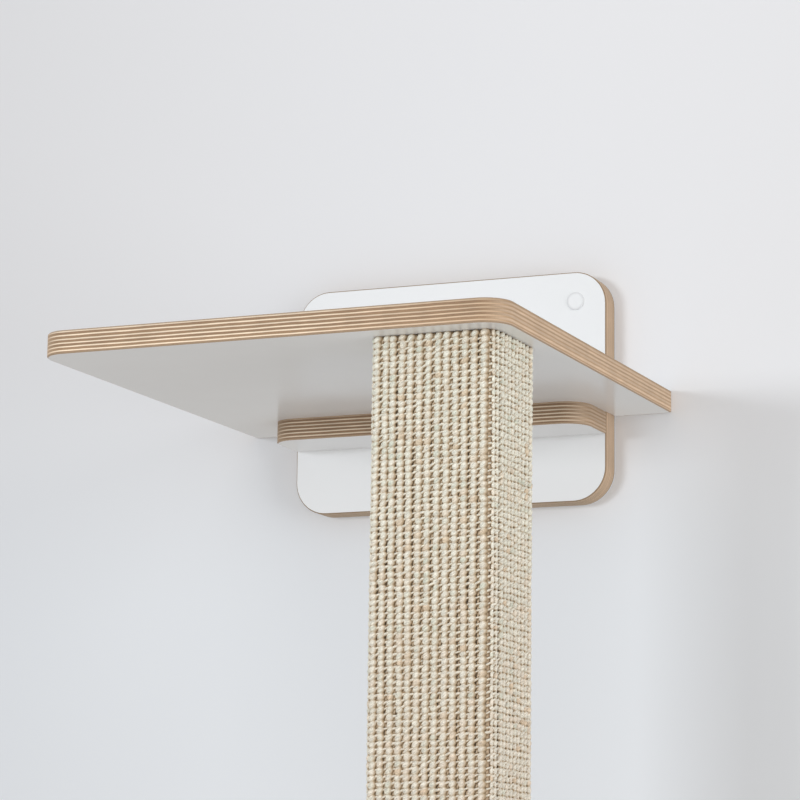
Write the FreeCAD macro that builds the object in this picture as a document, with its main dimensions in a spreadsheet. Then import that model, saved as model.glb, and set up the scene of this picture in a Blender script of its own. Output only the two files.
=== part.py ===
"""Wall-fixed cat scratching post: a platform on a wall plate and ledge, with a sisal post under its front.

Millimetres, +Z up, +X to the right seen from the room. The wall is the plane Y = 0, and the piece stands on
its -Y side. The origin lies on the wall, midway between the two wall screws.
"""
import FreeCAD, Part
import os
import Sketcher
from FreeCAD import Placement, Rotation, Vector

# Driving dimensions: one cell each, named by its alias.
SIZES = {
    # Panels: birch ply with a white laminate on both faces.
    "panel_ply": 15.0,
    "wall_ply": 18.0,
    "laminate": 1.0,
    "edge_ease": 0.8,
    # Platform.
    "platform_width": 350.0,
    "platform_depth": 356.0,
    "platform_corner": 20.0,
    "notch_gap": 0.3,
    # Wall plate, measured up and down from the platform's underside.
    "plate_width": 259.0,
    "plate_above": 111.0,
    "plate_below": 68.0,
    "plate_corner": 26.0,
    # Wall screws.
    "screw_spacing": 210.0,
    "screw_drop": 23.0,
    "screw_hole_radius": 3.25,
    # Recess that hides a screw or bolt head, and the cap over it.
    "recess_radius": 6.0,
    "recess_depth": 8.0,
    "cap_radius": 7.0,
    "cap_height": 1.0,
    "cap_ease": 0.7,
    "cap_plug_length": 1.8,
    "cap_wall": 1.2,
    "cap_gap": 0.08,
    # Ledge under the platform.
    "ledge_depth": 52.0,
    "ledge_corner": 20.0,
    # Ledge screws, driven from the back of the wall plate.
    "ledge_screw_radius": 2.5,
    "ledge_screw_head": 4.5,
    "ledge_screw_length": 50.0,
    "ledge_screw_span": 184.0,
    "ledge_screw_socket": 1.8,
    # Dowels between the wall plate and the ledge.
    "dowel_radius": 4.0,
    "dowel_length": 30.0,
    "dowel_depth": 12.0,
    "dowel_span": 110.0,
    "dowel_chamfer": 1.0,
    # Screws driven up through the ledge into the platform.
    "platform_screw_radius": 2.0,
    "platform_screw_head": 4.0,
    "platform_screw_length": 28.0,
    "platform_screw_span": 100.0,
    "platform_screw_socket": 1.5,
    # Post: four equal boards round two end blocks.
    "floor_height": 1000.0,
    "board_width": 63.0,
    "board_thickness": 8.0,
    "block_length": 60.0,
    "post_front_inset": 18.5,
    "post_side_inset": 12.0,
    # Sisal mat wrapped round the boards, its two edges meeting at the back.
    "mat_thickness": 6.5,
    "mat_seam": 0.8,
    # Bolts down through the platform into inserts in the post's top block.
    "bolt_radius": 3.0,
    "bolt_hole_radius": 3.3,
    "bolt_length": 25.0,
    "bolt_head_radius": 5.0,
    "bolt_head_height": 6.0,
    "bolt_chamfer": 0.6,
    "bolt_socket": 2.7,
    "bolt_span": 36.0,
    "insert_radius": 5.0,
    "insert_length": 14.0,
    # Screws through the side boards into the end blocks.
    "board_screw_radius": 1.75,
    "board_screw_head": 3.4,
    "board_screw_length": 28.0,
    "board_screw_span": 28.0,
    "board_screw_inset": 30.0,
    "board_screw_socket": 1.4,
    # Glides nailed under the post.
    "glide_radius": 9.0,
    "glide_height": 5.0,
    "glide_ease": 1.0,
    "glide_span_wide": 38.0,
    "glide_span_deep": 24.0,
    "nail_radius": 1.0,
    "nail_length": 14.0,
    # Fit of pins and screws in their holes, and spare depth under their tips.
    "hole_gap": 0.05,
    "tip_room": 1.5,
}

# Places and lengths worked out from the cells.
PANEL = "(sizes.panel_ply + 2 * sizes.laminate)"
WALL = "(sizes.wall_ply + 2 * sizes.laminate)"
UNDERSIDE = "(sizes.screw_drop - sizes.plate_above)"
PLATFORM_TOP = f"({UNDERSIDE} + {PANEL})"
PLATE_LOW = f"({UNDERSIDE} - sizes.plate_below)"
PLATE_HEIGHT = "(sizes.plate_above + sizes.plate_below)"
LEDGE_LOW = f"({UNDERSIDE} - {PANEL})"
LEDGE_MIDDLE = f"({UNDERSIDE} - {PANEL} / 2)"
LEDGE_FRONT = f"(-{WALL} - sizes.ledge_depth)"
FLOOR = f"({UNDERSIDE} - sizes.floor_height)"
POST_LOW = f"({FLOOR} + sizes.glide_height)"
POST_LENGTH = "(sizes.floor_height - sizes.glide_height)"
CORE_WIDE = "(sizes.board_width + 2 * sizes.board_thickness)"
CORE_DEEP = "sizes.board_width"
BLOCK_DEEP = "(sizes.board_width - 2 * sizes.board_thickness)"
POST_X = f"(sizes.platform_width / 2 - sizes.post_side_inset - sizes.mat_thickness - {CORE_WIDE} / 2)"
POST_Y = f"(-sizes.platform_depth + sizes.post_front_inset + sizes.mat_thickness + {CORE_DEEP} / 2)"
PLATFORM_SCREW_Y = f"(-{WALL} - sizes.ledge_depth / 2)"
BOLT_SEAT = f"({PLATFORM_TOP} - sizes.recess_depth)"
BOLT_REACH = f"({UNDERSIDE} - {BOLT_SEAT} + sizes.bolt_length)"
TOP_SCREW_Z = f"({UNDERSIDE} - sizes.board_screw_inset)"
LOW_SCREW_Z = f"({POST_LOW} + sizes.board_screw_inset)"

# Turns that lay a turned piece's own +Z along another direction.
UPRIGHT = Rotation()
TO_ROOM = Rotation(Vector(1, 0, 0), 90)
TO_WALL = Rotation(Vector(1, 0, 0), -90)
DOWNWARD = Rotation(Vector(1, 0, 0), 180)
TO_LEFT = Rotation(Vector(0, 1, 0), -90)
TO_RIGHT = Rotation(Vector(0, 1, 0), 90)

# Length of a screw's point in shank radii, and of a nail's.
SCREW_POINT = 1.5
NAIL_POINT = 2

# Distance below which two heights count as one.
LEVEL = 0.001

# Corners of a hexagon: shares of its corner radius across, and of its half width up.
HEXAGON = ((1, 0), (0.5, 1), (-0.5, 1), (-1, 0), (-0.5, -1), (0.5, -1))

doc = FreeCAD.newDocument("scratching_post")
parts = []


def size_sheet():
    """Puts every driving dimension in the sheet, under its alias."""
    sheet = doc.addObject("Spreadsheet::Sheet", "sizes")
    for row, (name, value) in enumerate(SIZES.items(), 1):
        sheet.set(f"A{row}", name.replace("_", " "))
        sheet.set(f"B{row}", str(value))
        sheet.setAlias(f"B{row}", name)
    doc.recompute()


def new_part(label, turn=UPRIGHT, at=None):
    """Starts a body; a turned piece is modelled at its own origin and then placed."""
    body = doc.addObject("PartDesign::Body", label)
    body.Label = label
    body.AllowCompound = True
    body.Placement = Placement(Vector(), turn)
    place(body, at)
    parts.append(body)
    return body


def place(thing, at):
    """Binds a position to three expressions."""
    if at:
        for direction, expression in zip("xyz", at):
            thing.setExpression(f"Placement.Base.{direction}", expression)


def box(body, kind, name, at, length, width, height):
    """Adds or cuts a box whose lowest corner is at the given place."""
    feature = body.newObject(f"PartDesign::{kind}Box", f"{body.Name}_{name}")
    place(feature, at)
    feature.setExpression("Length", length)
    feature.setExpression("Width", width)
    feature.setExpression("Height", height)
    doc.recompute()
    return feature


def hole(body, name, at, turn, radius, depth):
    """Cuts a round hole from its mouth, along the turned +Z."""
    feature = body.newObject("PartDesign::SubtractiveCylinder", f"{body.Name}_{name}")
    feature.Placement = Placement(Vector(), turn)
    place(feature, at)
    feature.setExpression("Radius", radius)
    feature.setExpression("Height", depth)
    doc.recompute()
    return feature


def countersink(body, name, at, turn, head, shank):
    """Cuts the 90 degree seat of a countersunk head, from its mouth along the turned +Z."""
    feature = body.newObject("PartDesign::SubtractiveCone", f"{body.Name}_{name}")
    feature.Placement = Placement(Vector(), turn)
    place(feature, at)
    feature.setExpression("Radius1", head)
    feature.setExpression("Radius2", shank)
    feature.setExpression("Height", f"{head} - {shank}")
    doc.recompute()
    return feature


def edge_names(shape, wanted):
    """Names of the shape's edges that pass a test."""
    return [f"Edge{number}" for number, edge in enumerate(shape.Edges, 1) if wanted(edge)]


def round_corners(body, along, radius, wanted):
    """Rounds the straight edges that run along a direction and whose middles pass a test."""
    base = body.Tip

    def corner(edge):
        if not isinstance(edge.Curve, Part.Line):
            return False
        return edge.Curve.Direction.cross(along).Length < LEVEL and wanted(edge.CenterOfMass)

    feature = body.newObject("PartDesign::Fillet", f"{body.Name}_corners")
    feature.Base = (base, edge_names(base.Shape, corner))
    feature.setExpression("Radius", radius)
    doc.recompute()


def ease_rim(body, outward, wanted):
    """Bevels the outline of the face that looks outward, leaving the rims of its holes sharp."""
    base = body.Tip
    reach = max(vertex.Point.dot(outward) for vertex in base.Shape.Vertexes)

    def rim(edge):
        on_face = all(abs(vertex.Point.dot(outward) - reach) < LEVEL for vertex in edge.Vertexes)
        return on_face and not edge.isClosed() and wanted(edge.CenterOfMass)

    feature = body.newObject("PartDesign::Chamfer", f"{body.Name}_eased")
    feature.Base = (base, edge_names(base.Shape, rim))
    feature.setExpression("Size", "sizes.edge_ease")
    doc.recompute()


def closed_sketch(body, name, role, points):
    """Draws a closed outline on one of the body's own planes; each point is a pair of expressions."""
    sheet = doc.getObject("sizes")
    sketch = body.newObject("Sketcher::SketchObject", f"{body.Name}_{name}")
    plane = next(item for item in body.Origin.OriginFeatures if item.Role == role)
    sketch.AttachmentSupport = (plane, "")
    sketch.MapMode = "FlatFace"
    guess = [Vector(*(sheet.evalExpression(value) for value in point), 0) for point in points]
    count = len(points)
    for number in range(count):
        sketch.addGeometry(Part.LineSegment(guess[number], guess[(number + 1) % count]), False)
    for number in range(count):
        sketch.addConstraint(Sketcher.Constraint("Coincident", number, 2, (number + 1) % count, 1))
    for number, point in enumerate(points):
        for kind, value, start, axis in zip(("DistanceX", "DistanceY"), point, guess[number], (-2, -1)):
            if value == "0":
                sketch.addConstraint(Sketcher.Constraint("PointOnObject", number, 1, axis))
            else:
                bound = sketch.addConstraint(Sketcher.Constraint(kind, number, 1, start))
                sketch.setExpression(f"Constraints[{bound}]", value)
    doc.recompute()
    return sketch


def turned(body, points):
    """Turns a closed profile about the body's own Z axis; each point is a radius and a height."""
    sketch = closed_sketch(body, "profile", "XZ_Plane", points)
    feature = body.newObject("PartDesign::Revolution", f"{body.Name}_turned")
    feature.Profile = sketch
    feature.ReferenceAxis = (sketch, ["V_Axis"])
    feature.Angle = 360
    doc.recompute()
    return feature


def hex_socket(body, radius, depth):
    """Sinks a hexagonal socket into the top of a head, which lies at the body's own zero height."""
    solid = body.Tip.Shape.Volume
    corners = [(f"{wide} * {radius}" if wide else "0", f"{deep} * sqrt(3) / 2 * {radius}" if deep else "0")
               for wide, deep in HEXAGON]
    feature = body.newObject("PartDesign::Pocket", f"{body.Name}_socket")
    feature.Profile = closed_sketch(body, "socket_outline", "XY_Plane", corners)
    feature.setExpression("Length", depth)
    doc.recompute()
    if feature.Shape.Volume >= solid:
        raise RuntimeError(f"{body.Label}: the socket cut nothing")
    return feature


def row_of(body, features, count, span, second=None):
    """Repeats features along the body's own X over a span, and along a second axis where one is given."""
    axes = {item.Role: item for item in body.Origin.OriginFeatures}
    pattern = body.newObject("PartDesign::LinearPattern", f"{body.Name}_row")
    pattern.Originals = features
    pattern.Direction = (axes["X_Axis"], [""])
    pattern.Occurrences = count
    pattern.setExpression("Length", span)
    if second:
        pattern.Direction2 = (axes["Y_Axis"], [""])
        pattern.Occurrences2 = count
        pattern.setExpression("Length2", second)
    body.Tip = pattern
    doc.recompute()


def spread(count, span):
    """Expressions of evenly spaced places about zero."""
    return [f"({step} / {count - 1} - 0.5) * {span}" for step in range(count)]


def pilot(radius):
    """Radius of the hole that takes a pin or a shank."""
    return f"{radius} + sizes.hole_gap"


def wall_plate_layer(label, front, thickness):
    """One layer of the wall plate, with all four corners rounded and the wall screws' holes."""
    body = new_part(label)
    box(body, "Additive", "sheet", ("-sizes.plate_width / 2", front, PLATE_LOW),
        "sizes.plate_width", thickness, PLATE_HEIGHT)
    round_corners(body, Vector(0, 1, 0), "sizes.plate_corner", lambda middle: True)
    return body


def wall_plate():
    """Ply core with a laminate on both faces; the ledge's screws and dowels go into it."""
    back = wall_plate_layer("wall_plate_back_laminate", "-sizes.laminate", "sizes.laminate")
    core = wall_plate_layer("wall_plate_core", f"sizes.laminate - {WALL}", "sizes.wall_ply")
    front = wall_plate_layer("wall_plate_front_laminate", f"-{WALL}", "sizes.laminate")
    for number, x in enumerate(spread(2, "sizes.screw_spacing")):
        for body in (back, core):
            hole(body, f"wall_screw_{number}", (x, "0", "0"), TO_ROOM, "sizes.screw_hole_radius", WALL)
        for body in (core, front):
            hole(body, f"recess_{number}", (x, f"-{WALL}", "0"), TO_WALL, "sizes.recess_radius",
                 "sizes.recess_depth")
    for number, x in enumerate(spread(3, "sizes.ledge_screw_span")):
        at = (x, "0", LEDGE_MIDDLE)
        shank = pilot("sizes.ledge_screw_radius")
        for body in (back, core):
            countersink(body, f"ledge_screw_seat_{number}", at, TO_ROOM,
                        pilot("sizes.ledge_screw_head"), shank)
        for body in (back, core, front):
            hole(body, f"ledge_screw_{number}", at, TO_ROOM, shank, WALL)
    for number, x in enumerate(spread(2, "sizes.dowel_span")):
        for body in (core, front):
            hole(body, f"dowel_{number}", (x, f"-{WALL}", LEDGE_MIDDLE), TO_WALL,
                 pilot("sizes.dowel_radius"), "sizes.dowel_depth + sizes.tip_room")
    ease_rim(front, Vector(0, -1, 0), lambda middle: True)


def ledge_layer(label, low, thickness):
    """One layer of the ledge, with its two front corners rounded."""
    body = new_part(label)
    box(body, "Additive", "sheet", ("-sizes.plate_width / 2", LEDGE_FRONT, low),
        "sizes.plate_width", "sizes.ledge_depth", thickness)
    half = body.Tip.Shape.BoundBox.Center.y
    round_corners(body, Vector(0, 0, 1), "sizes.ledge_corner", lambda middle: middle.y < half)
    for number, x in enumerate(spread(2, "sizes.platform_screw_span")):
        hole(body, f"platform_screw_{number}", (x, PLATFORM_SCREW_Y, LEDGE_LOW), UPRIGHT,
             pilot("sizes.platform_screw_radius"), PANEL)
    return body


def ledge():
    """Ply core with a laminate above and below, butted against the wall plate."""
    bottom = ledge_layer("ledge_bottom_laminate", LEDGE_LOW, "sizes.laminate")
    core = ledge_layer("ledge_core", f"{LEDGE_LOW} + sizes.laminate", "sizes.panel_ply")
    ledge_layer("ledge_top_laminate", f"{UNDERSIDE} - sizes.laminate", "sizes.laminate")
    for number, x in enumerate(spread(2, "sizes.platform_screw_span")):
        for body in (bottom, core):
            countersink(body, f"platform_screw_seat_{number}", (x, PLATFORM_SCREW_Y, LEDGE_LOW), UPRIGHT,
                        pilot("sizes.platform_screw_head"), pilot("sizes.platform_screw_radius"))
    for number, x in enumerate(spread(3, "sizes.ledge_screw_span")):
        hole(core, f"ledge_screw_{number}", (x, f"-{WALL}", LEDGE_MIDDLE), TO_ROOM,
             pilot("sizes.ledge_screw_radius"), f"sizes.ledge_screw_length - {WALL} + sizes.tip_room")
    for number, x in enumerate(spread(2, "sizes.dowel_span")):
        hole(core, f"dowel_{number}", (x, f"-{WALL}", LEDGE_MIDDLE), TO_ROOM, pilot("sizes.dowel_radius"),
             "sizes.dowel_length - sizes.dowel_depth + sizes.tip_room")
    back = bottom.Shape.BoundBox.YMax
    ease_rim(bottom, Vector(0, 0, -1), lambda middle: middle.y < back - LEVEL)


def platform_layer(label, low, thickness):
    """One layer of the platform: front corners rounded, back notched round the wall plate."""
    body = new_part(label)
    box(body, "Additive", "sheet", ("-sizes.platform_width / 2", "-sizes.platform_depth", low),
        "sizes.platform_width", "sizes.platform_depth", thickness)
    half = body.Tip.Shape.BoundBox.Center.y
    round_corners(body, Vector(0, 0, 1), "sizes.platform_corner", lambda middle: middle.y < half)
    box(body, "Subtractive", "notch",
        ("-sizes.plate_width / 2 - sizes.notch_gap", f"-{WALL} - sizes.notch_gap", low),
        "sizes.plate_width + 2 * sizes.notch_gap", f"{WALL} + sizes.notch_gap", thickness)
    for number, x in enumerate(spread(2, "sizes.bolt_span")):
        hole(body, f"bolt_{number}", (f"{POST_X} + {x}", POST_Y, UNDERSIDE), UPRIGHT,
             "sizes.bolt_hole_radius", PANEL)
    return body


def platform():
    """Ply core with a laminate above and below; bolt heads sink into its top, screws hold it from below."""
    bottom = platform_layer("platform_bottom_laminate", UNDERSIDE, "sizes.laminate")
    core = platform_layer("platform_core", f"{UNDERSIDE} + sizes.laminate", "sizes.panel_ply")
    top = platform_layer("platform_top_laminate", f"{PLATFORM_TOP} - sizes.laminate", "sizes.laminate")
    for number, x in enumerate(spread(2, "sizes.bolt_span")):
        for body in (core, top):
            hole(body, f"recess_{number}", (f"{POST_X} + {x}", POST_Y, PLATFORM_TOP), DOWNWARD,
                 "sizes.recess_radius", "sizes.recess_depth")
    for number, x in enumerate(spread(2, "sizes.platform_screw_span")):
        for body in (bottom, core):
            hole(body, f"ledge_hold_{number}", (x, PLATFORM_SCREW_Y, UNDERSIDE), UPRIGHT,
                 pilot("sizes.platform_screw_radius"),
                 f"sizes.platform_screw_length - {PANEL} + sizes.tip_room")
    quarter = top.Shape.BoundBox.YMin / 4
    ease_rim(top, Vector(0, 0, 1), lambda middle: middle.y < quarter)
    ease_rim(bottom, Vector(0, 0, -1), lambda middle: middle.y < quarter)


def post_boards():
    """Side boards the full depth of the post, front and back boards between them."""
    left = f"{POST_X} - {CORE_WIDE} / 2"
    front = f"{POST_Y} - {CORE_DEEP} / 2"
    inner = f"{left} + sizes.board_thickness"
    back = f"{POST_Y} + {CORE_DEEP} / 2 - sizes.board_thickness"
    right = f"{POST_X} + {CORE_WIDE} / 2 - sizes.board_thickness"
    for label, x, y in (("post_front_board", inner, front), ("post_back_board", inner, back)):
        box(new_part(label), "Additive", "board", (x, y, POST_LOW), "sizes.board_width",
            "sizes.board_thickness", POST_LENGTH)
    for label, x, face, turn in (("post_left_board", left, left, TO_RIGHT),
                                 ("post_right_board", right, f"{right} + sizes.board_thickness", TO_LEFT)):
        body = new_part(label)
        box(body, "Additive", "board", (x, front, POST_LOW), "sizes.board_thickness", "sizes.board_width",
            POST_LENGTH)
        for level, z in (("top", TOP_SCREW_Z), ("low", LOW_SCREW_Z)):
            for number, y in enumerate(spread(2, "sizes.board_screw_span")):
                at = (face, f"{POST_Y} + {y}", z)
                shank = pilot("sizes.board_screw_radius")
                countersink(body, f"{level}_seat_{number}", at, turn, pilot("sizes.board_screw_head"), shank)
                hole(body, f"{level}_screw_{number}", at, turn, shank, "sizes.board_thickness")


def post_block(label, low, screw_z):
    """Solid block that closes one end of the post and takes the side boards' screws."""
    body = new_part(label)
    left = f"{POST_X} - sizes.board_width / 2"
    right = f"{POST_X} + sizes.board_width / 2"
    box(body, "Additive", "block", (left, f"{POST_Y} - {BLOCK_DEEP} / 2", low),
        "sizes.board_width", BLOCK_DEEP, "sizes.block_length")
    depth = "sizes.board_screw_length - sizes.board_thickness + sizes.tip_room"
    for side, x, turn in (("left", left, TO_RIGHT), ("right", right, TO_LEFT)):
        for number, y in enumerate(spread(2, "sizes.board_screw_span")):
            hole(body, f"{side}_screw_{number}", (x, f"{POST_Y} + {y}", screw_z), turn,
                 pilot("sizes.board_screw_radius"), depth)
    return body


def post_blocks():
    """Top block with its insert holes, bottom block with the glides' nail holes."""
    top = post_block("post_top_block", f"{UNDERSIDE} - sizes.block_length", TOP_SCREW_Z)
    for number, x in enumerate(spread(2, "sizes.bolt_span")):
        hole(top, f"insert_{number}", (f"{POST_X} + {x}", POST_Y, UNDERSIDE), DOWNWARD,
             pilot("sizes.insert_radius"), f"{BOLT_REACH} + sizes.tip_room")
    low = post_block("post_bottom_block", POST_LOW, LOW_SCREW_Z)
    for row, y in enumerate(spread(2, "sizes.glide_span_deep")):
        for number, x in enumerate(spread(2, "sizes.glide_span_wide")):
            hole(low, f"nail_{row}_{number}", (f"{POST_X} + {x}", f"{POST_Y} + {y}", POST_LOW), UPRIGHT,
                 pilot("sizes.nail_radius"), "sizes.nail_length + sizes.tip_room")


def sisal_mat():
    """Mat wrapped once round the boards; it bends round their corners and its edges meet behind."""
    body = new_part("sisal_mat")
    wide = f"({CORE_WIDE} + 2 * sizes.mat_thickness)"
    deep = f"({CORE_DEEP} + 2 * sizes.mat_thickness)"
    box(body, "Additive", "wrap", (f"{POST_X} - {wide} / 2", f"{POST_Y} - {deep} / 2", POST_LOW),
        wide, deep, POST_LENGTH)
    round_corners(body, Vector(0, 0, 1), "sizes.mat_thickness", lambda middle: True)
    box(body, "Subtractive", "core",
        (f"{POST_X} - {CORE_WIDE} / 2", f"{POST_Y} - {CORE_DEEP} / 2", POST_LOW),
        CORE_WIDE, CORE_DEEP, POST_LENGTH)
    box(body, "Subtractive", "seam", (f"{POST_X} - sizes.mat_seam / 2", POST_Y, POST_LOW),
        "sizes.mat_seam", deep, POST_LENGTH)


def cover_cap(label, turn, at):
    """Push-in cap: a disc with an eased rim on a short hollow plug."""
    body = new_part(label, turn, at)
    plug = "sizes.recess_radius - sizes.cap_gap"
    turned(body, [("0", "sizes.cap_height"), ("sizes.cap_radius", "sizes.cap_height"),
                  ("sizes.cap_radius", "0"), (plug, "0"), (plug, "-sizes.cap_plug_length"),
                  (f"{plug} - sizes.cap_wall", "-sizes.cap_plug_length"), (f"{plug} - sizes.cap_wall", "0"),
                  ("0", "0")])
    base = body.Tip
    top = max(vertex.Point.z for vertex in base.Shape.Vertexes)
    rim = edge_names(base.Shape, lambda edge: edge.isClosed() and edge.CenterOfMass.z > top - LEVEL)
    feature = body.newObject("PartDesign::Fillet", f"{label}_rim")
    feature.Base = (base, rim)
    feature.setExpression("Radius", "sizes.cap_ease")
    doc.recompute()


def cover_caps():
    """Two caps over the wall screws, two over the bolts in the platform's top."""
    for side, x in zip(("left", "right"), spread(2, "sizes.screw_spacing")):
        cover_cap(f"wall_cap_{side}", TO_ROOM, (x, f"-{WALL}", "0"))
    for side, x in zip(("left", "right"), spread(2, "sizes.bolt_span")):
        cover_cap(f"platform_cap_{side}", UPRIGHT, (f"{POST_X} + {x}", POST_Y, PLATFORM_TOP))


def countersunk_screws(label, kind, turn, at, count, span, second=None):
    """A group of countersunk screws with pointed tips and hexagonal sockets, heads at local zero."""
    body = new_part(label, turn, at)
    radius, head, length = (f"sizes.{kind}_{name}" for name in ("radius", "head", "length"))
    shape = turned(body, [("0", "0"), (head, "0"), (radius, f"{radius} - {head}"),
                          (radius, f"{SCREW_POINT} * {radius} - {length}"), ("0", f"-{length}")])
    socket = hex_socket(body, f"sizes.{kind}_socket", radius)
    row_of(body, [shape, socket], count, span, second)


def screws():
    """All screw groups, each head flush with the face it is driven into."""
    countersunk_screws("ledge_screws", "ledge_screw", TO_WALL,
                       ("-sizes.ledge_screw_span / 2", "0", LEDGE_MIDDLE), 3, "sizes.ledge_screw_span")
    countersunk_screws("platform_screws", "platform_screw", DOWNWARD,
                       ("-sizes.platform_screw_span / 2", PLATFORM_SCREW_Y, LEDGE_LOW), 2,
                       "sizes.platform_screw_span")
    level_span = f"{TOP_SCREW_Z} - {LOW_SCREW_Z}"
    front_screw = f"{POST_Y} - sizes.board_screw_span / 2"
    countersunk_screws("left_board_screws", "board_screw", TO_LEFT,
                       (f"{POST_X} - {CORE_WIDE} / 2", front_screw, LOW_SCREW_Z), 2, level_span,
                       "sizes.board_screw_span")
    countersunk_screws("right_board_screws", "board_screw", TO_RIGHT,
                       (f"{POST_X} + {CORE_WIDE} / 2", front_screw, TOP_SCREW_Z), 2, level_span,
                       "sizes.board_screw_span")


def ledge_dowels():
    """Dowels with chamfered ends, across the joint between the wall plate and the ledge."""
    body = new_part("ledge_dowels", TO_ROOM,
                    ("-sizes.dowel_span / 2", f"sizes.dowel_depth - {WALL}", LEDGE_MIDDLE))
    tip = "sizes.dowel_radius - sizes.dowel_chamfer"
    shape = turned(body, [("0", "0"), (tip, "0"), ("sizes.dowel_radius", "sizes.dowel_chamfer"),
                          ("sizes.dowel_radius", "sizes.dowel_length - sizes.dowel_chamfer"),
                          (tip, "sizes.dowel_length"), ("0", "sizes.dowel_length")])
    row_of(body, [shape], 2, "sizes.dowel_span")


def post_bolts():
    """Socket-head bolts, heads seated in the platform's recesses."""
    body = new_part("post_bolts", UPRIGHT,
                    (f"{POST_X} - sizes.bolt_span / 2", POST_Y, f"{BOLT_SEAT} + sizes.bolt_head_height"))
    seat = "-sizes.bolt_head_height"
    end = f"{seat} - sizes.bolt_length"
    shape = turned(body, [("0", "0"), ("sizes.bolt_head_radius", "0"), ("sizes.bolt_head_radius", seat),
                          ("sizes.bolt_radius", seat), ("sizes.bolt_radius", f"{end} + sizes.bolt_chamfer"),
                          ("sizes.bolt_radius - sizes.bolt_chamfer", end), ("0", end)])
    socket = hex_socket(body, "sizes.bolt_socket", "sizes.bolt_radius")
    row_of(body, [shape, socket], 2, "sizes.bolt_span")


def insert_nuts():
    """Threaded inserts in the top block, flush with the post's end."""
    body = new_part("insert_nuts", UPRIGHT, (f"{POST_X} - sizes.bolt_span / 2", POST_Y, UNDERSIDE))
    bore = pilot("sizes.bolt_radius")
    shape = turned(body, [(bore, "0"), ("sizes.insert_radius", "0"),
                          ("sizes.insert_radius", "-sizes.insert_length"), (bore, "-sizes.insert_length")])
    row_of(body, [shape], 2, "sizes.bolt_span")


def foot_glides():
    """Four glides with nails, under the bottom block."""
    left = f"{POST_X} - sizes.glide_span_wide / 2"
    front = f"{POST_Y} - sizes.glide_span_deep / 2"
    body = new_part("foot_glides", UPRIGHT, (left, front, POST_LOW))
    shape = turned(body, [("0", "sizes.nail_length"),
                          ("sizes.nail_radius", f"sizes.nail_length - {NAIL_POINT} * sizes.nail_radius"),
                          ("sizes.nail_radius", "0"), ("sizes.glide_radius", "0"),
                          ("sizes.glide_radius", "sizes.glide_ease - sizes.glide_height"),
                          ("sizes.glide_radius - sizes.glide_ease", "-sizes.glide_height"),
                          ("0", "-sizes.glide_height")])
    row_of(body, [shape], 2, "sizes.glide_span_wide", "sizes.glide_span_deep")


def check_and_write():
    """Stops on any failed feature or bad solid, then writes one file for each part."""
    doc.recompute()
    failed = [thing.Label for thing in doc.Objects if {"Invalid", "Error"} & set(thing.State)]
    if failed:
        raise RuntimeError(f"features failed: {failed}")
    for body in parts:
        if body.Shape.isNull() or not body.Shape.isValid() or not body.Shape.Solids:
            raise RuntimeError(f"{body.Label} has no valid solid")
    os.makedirs("parts", exist_ok=True)
    for body in parts:
        body.Shape.exportStep(f"parts/{body.Label}.step")
        print(f"{body.Label}: {len(body.Shape.Solids)} solid(s), {body.Shape.Volume:.1f} mm3")


size_sheet()
wall_plate()
ledge()
platform()
post_boards()
post_blocks()
sisal_mat()
cover_caps()
screws()
ledge_dowels()
post_bolts()
insert_nuts()
foot_glides()
check_and_write()
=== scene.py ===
"""Wall-fixed cat perch with a sisal scratching post: the woven mat, the finishes and the studio.

Everything is in metres, in the frame of the solids: the wall is Y = 0, X runs to the right, Z runs up.
"""

import math

import bmesh
import bpy
import numpy as np
from mathutils import Matrix, Vector


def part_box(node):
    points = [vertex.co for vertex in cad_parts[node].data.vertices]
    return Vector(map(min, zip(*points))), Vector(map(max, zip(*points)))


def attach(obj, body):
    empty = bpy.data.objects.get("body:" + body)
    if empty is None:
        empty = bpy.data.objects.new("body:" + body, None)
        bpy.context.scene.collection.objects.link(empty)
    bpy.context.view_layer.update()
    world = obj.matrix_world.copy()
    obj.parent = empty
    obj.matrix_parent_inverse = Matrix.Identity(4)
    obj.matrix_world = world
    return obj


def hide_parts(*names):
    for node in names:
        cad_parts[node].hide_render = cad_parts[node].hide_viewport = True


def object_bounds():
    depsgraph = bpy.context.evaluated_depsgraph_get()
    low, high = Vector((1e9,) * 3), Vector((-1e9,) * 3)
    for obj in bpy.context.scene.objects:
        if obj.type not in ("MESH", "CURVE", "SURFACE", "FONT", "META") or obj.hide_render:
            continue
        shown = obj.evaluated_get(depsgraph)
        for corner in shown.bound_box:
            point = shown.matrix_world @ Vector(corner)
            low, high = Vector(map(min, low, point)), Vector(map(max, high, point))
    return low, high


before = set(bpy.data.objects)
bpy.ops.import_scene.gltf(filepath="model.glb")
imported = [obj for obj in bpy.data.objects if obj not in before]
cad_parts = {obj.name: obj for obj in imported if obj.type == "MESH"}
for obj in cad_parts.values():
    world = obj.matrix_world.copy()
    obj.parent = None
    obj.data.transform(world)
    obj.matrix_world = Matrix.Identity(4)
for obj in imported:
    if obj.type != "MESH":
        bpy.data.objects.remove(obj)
cad_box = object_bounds()

MM = 0.001
BODY = "post"


def by_face(broad, narrow):
    """One value for the post's front and back, another for its two sides."""
    return {"front": broad, "back": broad, "right": narrow, "left": narrow}


# Woven mat: ribs of beads stand side by side on a thin backing, with a cord and short threads in every gap.
# A spread is that of a normal draw, and a tone is a place along the colours of STRAW, from 0 to 1.
BACKING = 1.3 * MM
SLACK = 0.02 * MM
SEAM = 0.8 * MM
BEADS = 223
SEED = 41

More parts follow.
